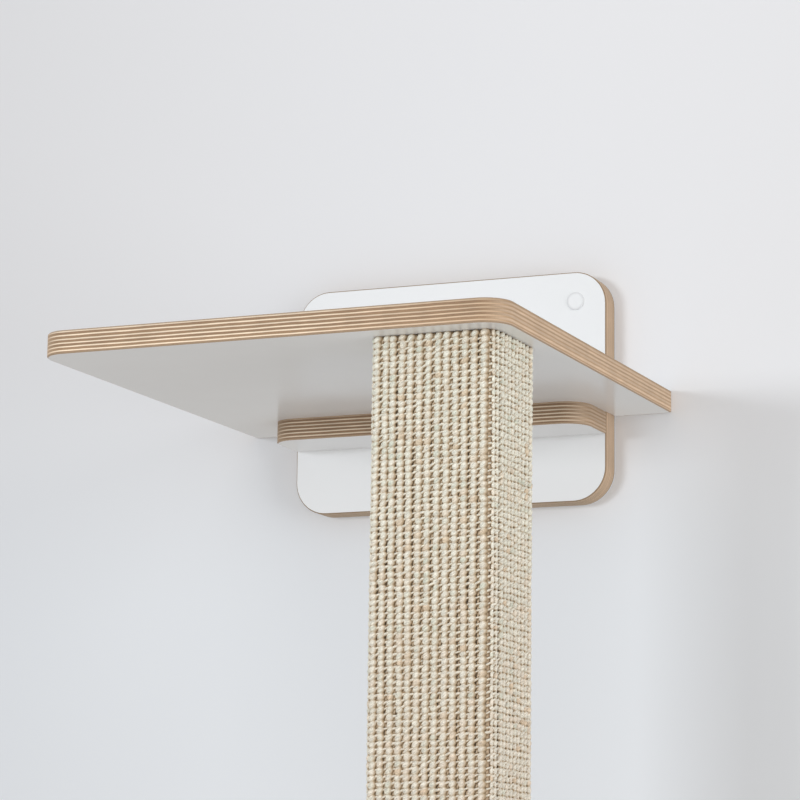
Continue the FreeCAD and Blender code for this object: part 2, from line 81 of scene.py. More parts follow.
# Places of the ribs, from the middle of a face. On the front they spread apart to the right.
FRONT_RIBS = 13
FRONT_FIRST = -40.2 * MM
FRONT_PITCH = 6.02 * MM
FRONT_SPREAD = 0.035 * MM
RIGHT_RIBS = 10
RIGHT_FIRST = -28.3 * MM
RIGHT_PITCH = 6.6 * MM
LEFT_RIBS = 9
LEFT_PITCH = 6.6 * MM
HALF_BACK_RIBS = 6
BACK_FIRST = 3.4 * MM
BACK_PITCH = 6.4 * MM
# The rib on the corner that ends each face: its turn from that face in degrees, and its share of a full rib.
CORNERS = {"front": (82, 0.5), "right": (22, 1.0), "back": (45, 1.0), "left": (22, 1.0)}
# The share of the next rib after the front right corner.
FIRST_RIGHT_SHARE = 0.8

# Ribs: a tube of beads, drawn in to PINCH between them and to NOTCH on its outer side.
RIB_SIDES = 10
RIB_CUTS = 2
RIB_HALF_WIDTH = by_face(3.1 * MM, 2.4 * MM)
PINCH = 0.7
NOTCH = 0.78
SLANT = 0.2
SLANT_SPREAD = 0.13
THINNING_SPREAD = 0.07
THINNING_MOST = 0.18
SHIFT_SPREAD = 0.2 * MM
NOTCH_SPREAD = 0.4 * MM
RIB_KNOTS = 13
RIB_SWAY = 0.3 * MM
RIB_SINK = 0.25 * MM
RIB_TONE = 0.42
RIB_TONE_SPREAD = 0.05
BEAD_TONE_SPREAD = 0.17
BEAD_TONE_MOST = 0.82
# Painted shade on a rib: in the ring between two beads, on its flank (how far round it reaches, how much more
# of it is on the right and low on a bead), and in the pits beside each ring.
RING_PAINTED_SHADE = by_face(0.68, 0.5)
FLANK_PAINTED_SHADE = by_face((1.0, 0.8, 0.15), (0.5, 0.35, 0.0))
PIT_PAINTED_SHADE = by_face(0.8, 2.2)

# Warps: a cord low in each gap between two ribs, with painted shade on it that darkens the gap.
WARP_SIDES = 6
WARP_CUTS = 1
WARP_RADIUS = 1.1 * MM
WARP_SWELL = (0.85, 1.15)
WARP_DEPTH = 0.8 * MM
WARP_PLACE = 0.5
WARP_SLANT = 0.7
WARP_KNOTS = 25
WARP_SWAY = 0.2 * MM
WARP_TONE = 0.83
WARP_TONE_SPREAD = 0.07
WARP_TONE_LEAST = 0.7
WARP_PAINTED_SHADE = by_face(0.6, 0.0)

# Wefts: short pale threads across each gap, one to each bead, that rise to the right.
WEFT_SIDES = 6
WEFT_BOW = 1.2
WEFT_STEP = 4.0
WEFT_RADIUS = 0.75 * MM
WEFT_HALF_HEIGHT = 1.05 * MM
WEFT_SWELL = (0.75, 1.2)
WEFT_RISE = 1.0 * MM
WEFT_RISE_SPREAD = 0.3
WEFT_LIFT_SPREAD = 0.35 * MM
WEFT_DROP = 1.3 * MM
WEFT_OUTWARD = (-0.6 * MM, 0.5 * MM)
WEFT_TONE = (0.25, 0.55)
# Painted shade on the lower side of each weft thread: its amount at the middle, how fast it grows downwards,
# and its most.
WEFT_PAINTED_SHADE = 0.4
WEFT_PAINTED_SHADE_BELOW = 1.1
WEFT_PAINTED_SHADE_MOST = 1.2


def seen(red, green, blue):
    """A colour as the eye reads it, each part 0 to 255, as a shader socket takes it."""
    parts = [part / 255 for part in (red, green, blue)]
    return (*[p / 12.92 if p <= 0.04045 else ((p + 0.055) / 1.055) ** 2.4 for p in parts], 1.0)


# Shader maths


class Value:
    """A node's output. Arithmetic on it adds Math nodes to its finish."""

    def __init__(self, finish, socket):
        self.finish = finish
        self.socket = socket

    def maths(self, operation, *values):
        sockets = dict(enumerate(values))
        return self.finish.node("ShaderNodeMath", {"operation": operation}, sockets)

    def __add__(self, other):
        return self.maths("ADD", self, other)

    def __radd__(self, other):
        return self.maths("ADD", other, self)

    def __sub__(self, other):
        return self.maths("SUBTRACT", self, other)

    def __rsub__(self, other):
        return self.maths("SUBTRACT", other, self)

    def __mul__(self, other):
        return self.maths("MULTIPLY", self, other)

    def __rmul__(self, other):
        return self.maths("MULTIPLY", other, self)

    def __truediv__(self, other):
        return self.maths("DIVIDE", self, other)

    def __pow__(self, other):
        return self.maths("POWER", self, other)

    def __mod__(self, other):
        return self.maths("FLOORED_MODULO", self, other)

    def __gt__(self, other):
        return self.maths("GREATER_THAN", self, other)

    def __abs__(self):
        return self.maths("ABSOLUTE", self)

    def floor(self):
        return self.maths("FLOOR", self)

    def clamped(self):
        return self.finish.node("ShaderNodeClamp", {}, {"Value": self})

    def between(self, low, high):
        """0 at low, 1 at high, smooth in between."""
        settings = {"interpolation_type": "SMOOTHSTEP"}
        sockets = {"Value": self, "From Min": low, "From Max": high}
        return self.finish.node("ShaderNodeMapRange", settings, sockets)


class Finish:
    """A material under way. One method adds any node."""

    def __init__(self, name):
        self.material = bpy.data.materials.new(name)
        self.material.use_nodes = True
        self.tree = self.material.node_tree
        self.shader = self.tree.nodes["Principled BSDF"]
        self.place = self.node("ShaderNodeTexCoord", output="Object")

    def node(self, kind, settings=None, sockets=None, output=0):
        made = self.tree.nodes.new(kind)
        for name, value in (settings or {}).items():
            if name == "stops":
                self.set_stops(made.color_ramp, value)
            else:
                setattr(made, name, value)
        for name, value in (sockets or {}).items():
            self.plug(made.inputs[name], value)
        return Value(self, made.outputs[output])

    def set_stops(self, ramp, stops):
        while len(ramp.elements) < len(stops):
            ramp.elements.new(1.0)
        for element, (position, colour) in zip(ramp.elements, stops):
            element.position = position
            element.color = colour

    def plug(self, socket, value):
        if isinstance(value, Value):
            self.tree.links.new(value.socket, socket)
        else:
            socket.default_value = value

    def along(self, axis):
        return self.node("ShaderNodeSeparateXYZ", {}, {0: self.place}, axis)

    def painted(self, name):
        """A number that the mesh carries at its points."""
        return self.node("ShaderNodeAttribute", {"attribute_name": name}, {}, "Fac")

    def noise(self, cell, detail, place=None):
        """Soft noise from 0 to 1 in cells of this size along X, Y and Z, or in all three."""
        sizes = cell if isinstance(cell, tuple) else (cell, cell, cell)
        scale = tuple(1 / size for size in sizes)
        spot = self.node("ShaderNodeMapping", {}, {"Vector": place or self.place, "Scale": scale})
        return self.node("ShaderNodeTexNoise", {}, {"Vector": spot, "Scale": 1.0, "Detail": detail})

    def mix(self, share, first, second, blend="MIX"):
        settings = {"data_type": "RGBA", "blend_type": blend}
        return self.node("ShaderNodeMix", settings, {0: share, 6: first, 7: second}, 2)

    def grey(self, level):
        """A number as a grey colour, to multiply a colour with."""
        return self.node("ShaderNodeCombineColor", {}, {0: level, 1: level, 2: level})

    def shaded(self, colour, level):
        return self.mix(1.0, colour, self.grey(level), "MULTIPLY")

    def bump(self, height, distance, strength=1.0):
        sockets = {"Height": height, "Distance": distance, "Strength": strength}
        return self.node("ShaderNodeBump", {}, sockets)

    def surface(self, colour, roughness, bump=None, **constants):
        self.plug(self.shader.inputs["Base Color"], colour)
        self.plug(self.shader.inputs["Roughness"], roughness)
        if bump is not None:
            self.plug(self.shader.inputs["Normal"], bump)
        for name, value in constants.items():
            self.plug(self.shader.inputs[name.replace("_", " ")], value)
        return self.material


# Finishes


WHITE = seen(242, 243, 244)
KRAFT = seen(178, 152, 126)
DARK_KRAFT = seen(154, 131, 106)
SKIN = 0.05 * MM
PALE_VENEER = seen(246, 225, 198)
DARKER_PALE_VENEER = seen(214, 186, 155)
PALE_VENEER_END = seen(186, 152, 119)
CROSSED_VENEER_END = seen(162, 130, 99)
CROSSED_VENEER = seen(220, 192, 163)
STRAW = [
    (0.0, seen(232, 231, 213)),
    (0.25, seen(245, 239, 222)),
    (0.5, seen(250, 243, 227)),
    (0.7, seen(247, 233, 213)),
    (0.82, seen(238, 216, 188)),
    (1.0, seen(202, 178, 158)),
]
TAN_PAINTED_SHADE = seen(190, 166, 134)
DARK_PAINTED_SHADE = seen(110, 96, 75)
FIBRE_LEAN = -0.5
# Heights between which the mat turns from its lower painted shade to its upper painted light, a little paler
# and greener: painted light that falls off downwards.
PAINTED_LIGHT_HEIGHTS = (-0.42, -0.09)
LOWER_PAINTED_SHADE = (0.975, 0.965, 0.97, 1.0)
UPPER_PAINTED_LIGHT = (1.02, 1.06, 1.08, 1.0)
# White caps: how far in from its edge the ring that rounds off into the hole starts and ends, and its painted
# shade.
CAP_RING = (2.4 * MM, 0.5 * MM)
CAP_RIM_PAINTED_SHADE = 0.13


def laminate_finish(name, axis, level, side, rim, matt):
    """Pressed laminate: a white skin on its outer face, brown paper core on its rim."""
    finish = Finish(name)
    depth = (finish.along(axis) - level) * -side
    brown = depth > SKIN
    cloud = finish.noise(80 * MM, 3.0)
    grain = finish.noise(0.5 * MM, 2.0)
    fibre = finish.noise((1.5 * MM, 1.5 * MM, 0.3 * MM), 2.0)
    white = finish.shaded(WHITE, 0.985 + 0.03 * cloud)
    core = finish.shaded(rim, 0.75 + 0.5 * fibre)
    colour = finish.mix(brown, white, core)
    roughness = matt + 0.08 * cloud + 0.05 * grain + 0.3 * brown
    return finish.surface(colour, roughness, finish.bump(grain, 0.02 * MM, 0.5))


def ply_finish(name, stack_axis, low, thickness, veneers, half_width, corner, shade, shift, right_darkening):
    """The edge of birch ply: veneers whose grain runs along the edge are pale, cut across they are brown.

    Round the corners, from the front edge to the side edges, pale and brown change places.
    """
    finish = Finish(name)

    def veneer_noise(flat, through):
        """Noise with cells of one size in the plane of the veneers and another through them."""
        return finish.noise(tuple(through if axis == stack_axis else flat for axis in "XYZ"), 3.0)

    side = abs(finish.along("X"))
    turn = ((side - (half_width - corner)) / corner).clamped()
    facing_side = turn * turn
    wander = veneer_noise(30 * MM, 4 * MM) - 0.5
    height = (finish.along(stack_axis) - low - shift) / thickness * veneers + wander * 0.5
    layer = height.floor()
    within = height % 1.0
    crossed = abs(height % 2.0 - 0.5).between(0.28, 0.44)
    tint = finish.node("ShaderNodeTexWhiteNoise", {"noise_dimensions": "1D"}, {"W": layer + 0.37})
    streak = veneer_noise(12 * MM, 0.25 * MM)
    pores = veneer_noise(0.35 * MM, 0.9 * MM)
    patch = finish.noise(20 * MM, 3.0)
    # The pale veneers grow darker towards the right end, from the middle.
    brown = right_darkening * finish.along("X").between(0.0, half_width)
    pale = finish.mix(brown, PALE_VENEER, DARKER_PALE_VENEER)
    lengthways = finish.mix(facing_side, pale, PALE_VENEER_END)
    crossways = finish.mix(facing_side, CROSSED_VENEER_END, CROSSED_VENEER)
    colour = finish.mix(crossed, lengthways, crossways)
    cut = crossed + facing_side - 2.0 * crossed * facing_side
    mottle = (1.0 - cut) * streak + cut * pores
    glue = abs(within - 0.5).between(0.36, 0.5)
    # shade is how bright the core is painted, and stands in for the light and shade on it.
    level = shade * (0.6 + 0.8 * mottle) * (0.9 + 0.2 * tint) * (0.84 + 0.32 * patch)
    colour = finish.shaded(colour, level * (1.0 - 0.22 * glue))
    roughness = 0.5 + 0.2 * mottle
    return finish.surface(colour, roughness, finish.bump(mottle, 0.08 * MM, 0.6))


def sisal_finish(name):
    """Spun sisal: each bead has its own straw colour, with slanting fibres and painted shade in its creases.

    The painted shade lies in the rings between beads, on the rib flanks, in the pits, on the warps and under
    the wefts: 1 is tan, and 2 is dark. Towards the top the mat is painted a little paler and greener, as
    light that falls off downwards.
    """
    finish = Finish(name)
    tone = finish.painted("tone")
    crease = finish.painted("crease")
    drop = (finish.along("X") + finish.along("Y")) * FIBRE_LEAN
    lean = finish.node("ShaderNodeCombineXYZ", {}, {0: 0.0, 1: 0.0, 2: drop})
    slanted = finish.node("ShaderNodeVectorMath", {"operation": "ADD"}, {0: finish.place, 1: lean})
    fibre = finish.noise((2.4 * MM, 2.4 * MM, 0.7 * MM), 3.0, slanted)
    speck = finish.noise(0.9 * MM, 2.0)
    straw = finish.node("ShaderNodeValToRGB", {"stops": STRAW}, {"Fac": tone})
    straw = finish.shaded(straw, 1.1 * fibre + 0.8 * speck)
    # Painted light: the mat is paler and greener at the top and darker below.
    tint = finish.mix(finish.along("Z").between(*PAINTED_LIGHT_HEIGHTS), LOWER_PAINTED_SHADE, UPPER_PAINTED_LIGHT)
    straw = finish.mix(1.0, straw, tint, "MULTIPLY")
    # Painted shade: tan where the crease value is 1, dark brown where it is 2.
    colour = finish.mix((crease * crease).clamped(), straw, TAN_PAINTED_SHADE)
    colour = finish.mix((crease - 1.0).clamped(), colour, DARK_PAINTED_SHADE)
    return finish.surface(colour, 0.72 + 0.2 * fibre, finish.bump(fibre, 0.2 * MM, 0.7))


def backing_finish(name):
    """Jute backing of the mat: coarse tan cloth."""
    finish = Finish(name)
    thread = finish.noise((1.2 * MM, 1.2 * MM, 0.6 * MM), 2.0)
    patch = finish.noise(30 * MM, 2.0)
    colour = finish.mix(thread, seen(202, 173, 140), seen(236, 214, 186))
    colour = finish.shaded(colour, 0.8 + 0.4 * patch)
    return finish.surface(colour, 0.85 + 0.1 * thread, finish.bump(thread, 0.4 * MM))


def fibreboard_finish(name):
    """Raw fibreboard: fine felted wood fibre, a little darker in specks."""
    finish = Finish(name)
    felt = finish.noise(0.6 * MM, 4.0)
    cloud = finish.noise(20 * MM, 3.0)
    colour = finish.mix(felt, seen(150, 118, 84), seen(196, 164, 126))
    colour = finish.shaded(colour, 0.88 + 0.24 * cloud)
    return finish.surface(colour, 0.75 + 0.15 * felt, finish.bump(felt, 0.05 * MM))


def grain_finish(name, pale, dark, ring, reach):
    """Solid wood with its growth rings drawn out along Z."""
    finish = Finish(name)
    bend = finish.noise((30 * MM, 30 * MM, 200 * MM), 2.0)
    band = finish.noise((ring, ring, reach), 3.0)
    rings = ((bend * 9.0 + band) % 1.0).between(0.15, 0.95)
    pores = finish.noise((0.3 * MM, 0.3 * MM, 4 * MM), 2.0)
    colour = finish.mix(rings, pale, dark)
    colour = finish.shaded(colour, 0.86 + 0.28 * pores)
    return finish.surface(colour, 0.5 + 0.2 * pores, finish.bump(pores, 0.05 * MM))


def zinc_finish(name):
    """Zinc-plated steel: pale metal with a faint yellow cloud and fine turning marks."""
    finish = Finish(name)
    cloud = finish.noise(3 * MM, 3.0)
    marks = finish.noise((0.15 * MM, 0.15 * MM, 1.5 * MM), 2.0)
    colour = finish.mix(cloud, seen(196, 198, 200), seen(208, 203, 186))
    return finish.surface(colour, 0.24 + 0.2 * marks, finish.bump(marks, 0.02 * MM), Metallic=1.0)


def moulded_grain(finish):
    """The fine even grain of moulded plastic as a bump, and the cloudiness of its gloss."""
    grain = finish.noise(0.35 * MM, 2.0)
    return finish.bump(grain, 0.03 * MM, 0.6), finish.noise(4 * MM, 2.0)


def glide_finish(name):
    """Dark moulded plastic of the glides."""
    finish = Finish(name)
    grain, cloud = moulded_grain(finish)
    colour = finish.shaded(seen(52, 50, 48), 0.96 + 0.08 * cloud)
    return finish.surface(colour, 0.42 + 0.12 * cloud, grain)


def cap_finish(node, flat):
    """White press-in cap, flat along two axes: its rim, which rounds off into the hole, is painted a little
    darker as shade.
    """
    finish = Finish(node + "_white")
    low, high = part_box(node)
    centre = (low + high) / 2
    reach = (high.x - low.x) / 2
    first, second = [finish.along(axis) - centre["XYZ".index(axis)] for axis in flat]
    radius = (first * first + second * second) ** 0.5
    rim = radius.between(*[reach - inset for inset in CAP_RING])
    grain, cloud = moulded_grain(finish)
    # Painted shade: the rim ring is darkened.
    colour = finish.shaded(WHITE, (0.98 + 0.04 * cloud) * (1.0 - CAP_RIM_PAINTED_SHADE * rim))
    return finish.surface(colour, 0.34 + 0.12 * cloud, grain)


def dress(node, material):
    """Gives a solid its finish."""
    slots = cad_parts[node].data.materials
    slots.clear()
    slots.append(material)


def dress_panels():
    """White laminate on both faces of plate, ledge and platform, and the ply edges between them."""
    # Each laminate: the axis its white face looks along, backwards or forwards, its rim and how matt it is.
    layers = {
        "wall_plate_front_laminate": ("Y", -1, DARK_KRAFT, 0.36),
        "wall_plate_back_laminate": ("Y", 1, DARK_KRAFT, 0.36),
        "ledge_top_laminate": ("Z", 1, KRAFT, 0.16),
        "ledge_bottom_laminate": ("Z", -1, KRAFT, 0.16),
        "platform_top_laminate": ("Z", 1, KRAFT, 0.16),
        "platform_bottom_laminate": ("Z", -1, KRAFT, 0.16),
    }
    for node, (axis, side, rim, matt) in layers.items():
        low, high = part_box(node)
        level = (high if side > 0 else low)["XYZ".index(axis)]
        dress(node, laminate_finish(node + "_white", axis, level, side, rim, matt))
    # Each core: the axis through its veneers, their number, its corner radius, how bright it is painted, the
    # shift of its veneers, and how much darker its pale veneers grow to the right. The brightness is painted
    # light and shade: the ledge under the platform and the wall plate darker as shade, the platform a little
    # brighter as light.
    cores = {
        "wall_plate_core": ("Y", 13, 26 * MM, 0.95, 0.0, 0.0),
        "ledge_core": ("Z", 11, 20 * MM, 0.79, 1.0 * MM, 0.0),
        "platform_core": ("Z", 11, 20 * MM, 1.04, 0.35 * MM, 1.0),
    }
    for node, (axis, veneers, corner, shade, shift, right_darkening) in cores.items():
        low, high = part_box(node)
        start, end = low["XYZ".index(axis)], high["XYZ".index(axis)]
        edge = (axis, start, end - start, veneers, high.x, corner, shade, shift, right_darkening)
        dress(node, ply_finish(node + "_ply", *edge))


def dress_inner_pieces():
    """The post's boards and blocks, the fasteners, the caps and the glides."""
    fibreboard = fibreboard_finish("raw_fibreboard")
    for side in ("front", "back", "left", "right"):
        dress(f"post_{side}_board", fibreboard)
    pine = grain_finish("sawn_pine", seen(228, 198, 148), seen(196, 152, 96), 9 * MM, 0.3)
    for end in ("top", "bottom"):
        dress(f"post_{end}_block", pine)
    beech = grain_finish("turned_beech", seen(222, 186, 146), seen(200, 158, 118), 3 * MM, 0.1)
    dress("ledge_dowels", beech)
    zinc = zinc_finish("zinc_plated_steel")
    screws = ["ledge_screws", "platform_screws", "left_board_screws", "right_board_screws"]
    for node in screws + ["post_bolts", "insert_nuts"]:
        dress(node, zinc)
    for place, flat in (("wall", "XZ"), ("platform", "XY")):
        for side in ("left", "right"):
            cap = f"{place}_cap_{side}"
            dress(cap, cap_finish(cap, flat))
    dress("foot_glides", glide_finish("dark_glide_plastic"))


# Modelling


def clear_selection():
    bpy.ops.object.select_all(action="DESELECT")


def coordinates(mesh):
    flat = np.empty(len(mesh.vertices) * 3)
    mesh.vertices.foreach_get("co", flat)
    return flat.reshape(-1, 3)


def move_points(mesh, points):
    mesh.vertices.foreach_set("co", np.ascontiguousarray(points, dtype=np.float32).ravel())
    mesh.update()


def paint(mesh, name, values):
    """Stores a number at every point for the finish to read."""
    layer = mesh.attributes.new(name, "FLOAT", "POINT")
    layer.data.foreach_set("value", np.asarray(values, dtype=np.float32))


def pick(obj, kind, test):
    """In edit mode, selects only the points, edges or faces that pass the test."""
    bpy.ops.mesh.select_mode(type={"verts": "VERT", "edges": "EDGE", "faces": "FACE"}[kind])
    bpy.ops.mesh.select_all(action="DESELECT")
    shape = bmesh.from_edit_mesh(obj.data)
    for element in getattr(shape, kind):
        if test(element):
            element.select_set(True)
    bmesh.update_edit_mesh(obj.data)


def apply_array(obj, count, offset, welded):
    array = obj.modifiers.new("repeat", "ARRAY")
    array.count = count
    array.use_relative_offset = False
    array.use_constant_offset = True
    array.constant_offset_displace = offset
    array.use_merge_vertices = welded
    array.merge_threshold = 0.01
    bpy.ops.object.modifier_apply(modifier=array.name)


def rib_model(sides, cuts):
    """One rib or warp at unit size, radius 1 and one unit to a bead: a tube drawn in between its beads."""
    clear_selection()
    bpy.ops.mesh.primitive_cylinder_add(
        vertices=sides, radius=1, depth=1, end_fill_type="NOTHING", location=(0, 0, 0.5)
    )
    rib = bpy.context.object
    bpy.ops.object.transform_apply(location=True, rotation=False, scale=False)
    bpy.ops.object.mode_set(mode="EDIT")
    pick(rib, "edges", lambda edge: abs(edge.verts[0].co.z - edge.verts[1].co.z) > 0.5)
    bpy.ops.mesh.subdivide(number_cuts=cuts)
    pick(rib, "verts", lambda vert: abs(vert.co.z - 0.5) > 0.4)
    bpy.ops.transform.resize(value=(PINCH, PINCH, 1), center_override=(0, 0, 0.5))
    bpy.ops.object.mode_set(mode="OBJECT")
    apply_array(rib, BEADS, (0, 0, 1), True)
    bpy.ops.object.mode_set(mode="EDIT")
    bpy.ops.mesh.select_all(action="SELECT")
    bpy.ops.mesh.fill_holes(sides=0)
    bpy.ops.mesh.normals_make_consistent(inside=False)
    bpy.ops.object.mode_set(mode="OBJECT")
    bpy.ops.object.shade_smooth()
    return rib


def weft_model():
    """A column of short threads at unit size, each one unit long and bowed outwards."""
    clear_selection()
    bpy.ops.mesh.primitive_cylinder_add(
        vertices=WEFT_SIDES,
        radius=1,
        depth=1,
        end_fill_type="NGON",
        location=(0.5, 0, 0),
        rotation=(0, math.pi / 2, 0),
    )
    thread = bpy.context.object
    bpy.ops.object.transform_apply(location=True, rotation=True, scale=False)
    bpy.ops.object.mode_set(mode="EDIT")
    pick(thread, "edges", lambda edge: abs(edge.verts[0].co.x - edge.verts[1].co.x) > 0.5)
    bpy.ops.mesh.subdivide(number_cuts=1)
    pick(thread, "verts", lambda vert: abs(vert.co.x - 0.5) < 0.2)
    bpy.ops.transform.translate(value=(0, WEFT_BOW, 0))
    bpy.ops.object.mode_set(mode="OBJECT")
    apply_array(thread, BEADS - 1, (0, 0, WEFT_STEP), False)
    bpy.ops.object.mode_set(mode="EDIT")
    bpy.ops.mesh.select_all(action="SELECT")
    bpy.ops.mesh.normals_make_consistent(inside=False)
    bpy.ops.object.mode_set(mode="OBJECT")
    bpy.ops.object.shade_smooth()
    return thread


class Mat:
    """The space that the mat takes up round the boards of the post."""

    def __init__(self):
        self.low, self.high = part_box("sisal_mat")
        self.centre = (self.low + self.high) / 2
        self.thickness = self.high.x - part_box("post_right_board")[1].x
        self.half_x = (self.high.x - self.low.x) / 2 - self.thickness
        self.half_y = (self.high.y - self.low.y) / 2 - self.thickness
        self.height = self.high.z - self.low.z
        self.reach = (self.thickness - BACKING) / 2
        self.bead = self.height / BEADS

    def faces(self):
        """Each face in turn, anticlockwise from above: its outward direction and its ribs along it.

        The back comes twice, because the seam is in its middle.
        """
        steps = np.arange(FRONT_RIBS)
        front = FRONT_FIRST + FRONT_PITCH * steps + FRONT_SPREAD * steps**2
        right = RIGHT_FIRST + RIGHT_PITCH * np.arange(RIGHT_RIBS)
        left = LEFT_PITCH * (np.arange(LEFT_RIBS) - LEFT_RIBS // 2)
        half_back = BACK_FIRST + BACK_PITCH * np.arange(HALF_BACK_RIBS)
        return {
            "back": (Vector((0, 1)), half_back),
            "left": (Vector((-1, 0)), left),
            "front": (Vector((0, -1)), front),
            "right": (Vector((1, 0)), right),
            "back_end": (Vector((0, 1)), -half_back[::-1]),
        }

    def ribs(self):
        """Every rib round the post from seam to seam: its face, spot in plan, outward direction and share.

        A rib's share is its size beside a full one: the ribs at the front right corner are thinner.
        """
        middle = Vector((self.centre.x, self.centre.y))
        found = []
        for name, (outward, offsets) in self.faces().items():
            face = name.split("_")[0]
            onward = Vector((-outward.y, outward.x))
            half = Vector((self.half_x, self.half_y))
            to_face = abs(outward.dot(half))
            to_corner = abs(onward.dot(half))
            for offset in offsets:
                share = FIRST_RIGHT_SHARE if offset == RIGHT_FIRST else 1.0
                depth = to_face + BACKING + share * self.reach
                spot = middle + outward * depth + onward * float(offset)
                found.append((face, spot, outward, share))
            if name != "back_end":
                turn, share = CORNERS[face]
                lean = Matrix.Rotation(math.radians(turn), 2) @ outward
                corner = middle + outward * to_face + onward * to_corner
                found.append((face, corner + lean * (BACKING + share * self.reach), lean, share))
        return found


def copy_of(model):
    copy = model.copy()
    copy.data = model.data.copy()
    bpy.context.collection.objects.link(copy)
    return copy


def rib_at(model, mat, face, spot, outward, share, draw):
    """A rib at its place round the post: each bead swells, shifts and is coloured a little differently."""
    rib = copy_of(model)
    across, out, along = coordinates(rib.data).T
    bead = np.clip(along.astype(int), 0, BEADS - 1)
    swell = 1 - np.abs(draw.normal(0, THINNING_SPREAD, BEADS)).clip(0, THINNING_MOST)
    shift = draw.normal(0, SHIFT_SPREAD, BEADS)
    notch = draw.normal(0, NOTCH_SPREAD, BEADS + 1)
    slant = draw.normal(SLANT, SLANT_SPREAD, BEADS)[bead]
    knots = np.linspace(0, BEADS, RIB_KNOTS)
    sway = np.interp(along, knots, draw.normal(0, RIB_SWAY, knots.size))
    sink = np.interp(along, knots, draw.uniform(0, RIB_SINK, knots.size))
    crease = (1 - np.hypot(across, out)) / (1 - PINCH)
    mean_tone = RIB_TONE + draw.normal(0, RIB_TONE_SPREAD)
    tone = draw.normal(mean_tone, BEAD_TONE_SPREAD, BEADS).clip(0, BEAD_TONE_MOST)[bead]
    fullness = 1 + crease * (NOTCH / PINCH - 1)
    width = RIB_HALF_WIDTH[face] * share
    sideways = across * width * swell[bead] + shift[bead] + sway
    outwards = out * fullness * mat.reach * share * swell[bead] - sink
    height = mat.low.z + along * mat.bead + np.interp(along, np.arange(BEADS + 1), notch)
    height = (height + slant * across * width).clip(mat.low.z, mat.high.z)
    onward = Vector((-outward.y, outward.x))
    x = spot.x + onward.x * sideways + outward.x * outwards
    y = spot.y + onward.y * sideways + outward.y * outwards
    move_points(rib.data, np.stack([x, y, height], 1))
    paint(rib.data, "tone", tone)
    # Painted shade: the ring between beads, the flank (more on the right and low on a bead) and the pits are
    # darkened.
    reach, rightward, downward = FLANK_PAINTED_SHADE[face]
    low_on_bead = np.clip(1.5 - 3 * (along % 1), 0, 1)  # 1 in the lowest sixth of a bead, 0 in its upper half
    flank = np.clip(reach - out + (rightward + downward * low_on_bead) * across, 0, 1)
    pit = crease * np.clip(1 - out, 0, 1) ** 2
    paint(rib.data, "crease", np.maximum(RING_PAINTED_SHADE[face] * crease, flank) + PIT_PAINTED_SHADE[face] * pit)
    return rib


def warp_between(model, mat, first, second, outward, draw, shade):
    """The cord at the bottom of one gap between two ribs, with painted shade on it and in its pinches."""
    warp = copy_of(model)
    across, out, along = coordinates(warp.data).T
    bead = np.clip(along.astype(int), 0, BEADS - 1)
    knots = np.linspace(0, BEADS, WARP_KNOTS)
    sway = np.interp(along, knots, draw.normal(0, WARP_SWAY, knots.size))
    sideways = across * WARP_RADIUS * draw.uniform(*WARP_SWELL, BEADS)[bead] + sway
    outwards = out * WARP_RADIUS - WARP_DEPTH
    middle = first + (second - first) * WARP_PLACE
    onward = Vector((-outward.y, outward.x))
    x = middle.x + onward.x * sideways + outward.x * outwards
    y = middle.y + onward.y * sideways + outward.y * outwards
    height = mat.low.z + along * mat.bead - WEFT_DROP + WARP_SLANT * across * WARP_RADIUS
    height = height.clip(mat.low.z, mat.high.z)
    height[along > BEADS - 0.1] = mat.high.z
    move_points(warp.data, np.stack([x, y, height], 1))
    tone = draw.normal(WARP_TONE, WARP_TONE_SPREAD, BEADS).clip(WARP_TONE_LEAST, 1)
    paint(warp.data, "tone", tone[bead])
    paint(warp.data, "crease", shade + (1 - np.hypot(across, out)) / (1 - PINCH))
    return warp


def weft_between(model, mat, first, second, outward, draw):
    """The threads that cross one gap between two ribs, one to each bead."""
    weft = copy_of(model)
    along, out, stack = coordinates(weft.data).T
    row = np.rint(stack / WEFT_STEP).astype(int)
    up = stack - row * WEFT_STEP
    rows = BEADS - 1
    swell = draw.uniform(*WEFT_SWELL, rows)[row]
    rise = WEFT_RISE * draw.normal(1, WEFT_RISE_SPREAD, rows)[row]
    lift = draw.normal(0, WEFT_LIFT_SPREAD, rows)[row]
    outwards = draw.uniform(*WEFT_OUTWARD, rows)[row] + out * swell * WEFT_RADIUS
    x = first.x + (second.x - first.x) * along + outward.x * outwards
    y = first.y + (second.y - first.y) * along + outward.y * outwards
    height = mat.low.z + (row + 1) * mat.bead - WEFT_DROP + lift
    height = height + rise * (2 * along - 1) + up * swell * WEFT_HALF_HEIGHT
    move_points(weft.data, np.stack([x, y, height], 1))
    paint(weft.data, "tone", draw.uniform(*WEFT_TONE, rows)[row])
    paint(weft.data, "crease", np.clip(WEFT_PAINTED_SHADE - WEFT_PAINTED_SHADE_BELOW * up, 0, WEFT_PAINTED_SHADE_MOST))
    return weft


